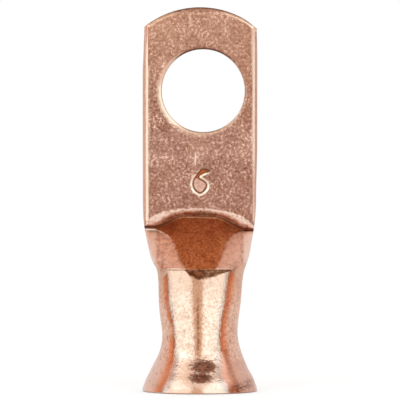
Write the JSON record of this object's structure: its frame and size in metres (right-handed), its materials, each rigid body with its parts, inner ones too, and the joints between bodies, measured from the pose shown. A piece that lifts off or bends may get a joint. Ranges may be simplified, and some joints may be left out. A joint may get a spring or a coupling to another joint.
{
  "type": "cable lug",
  "caption": "Seamless copper tube lug: flared round barrel for a cable, ramp, and flat pressed palm with a round stud hole and a curved end.",
  "frame": {"origin": "centre of the barrel's mouth, in the plane of its rim, on the barrel's axis", "axes": "+Z along the barrel's axis towards the palm, +Y out of the palm's flat back, the face that seats on the busbar; the front with the stamped figure looks along -Y"},
  "size_m": [0.0118, 0.0116, 0.0392],
  "materials": {
    "copper": "bright bare copper, satin on the pressed palm"
  },
  "bodies": {
    "root": {"copper_lug": "copper"}
  },
  "joints": []
}
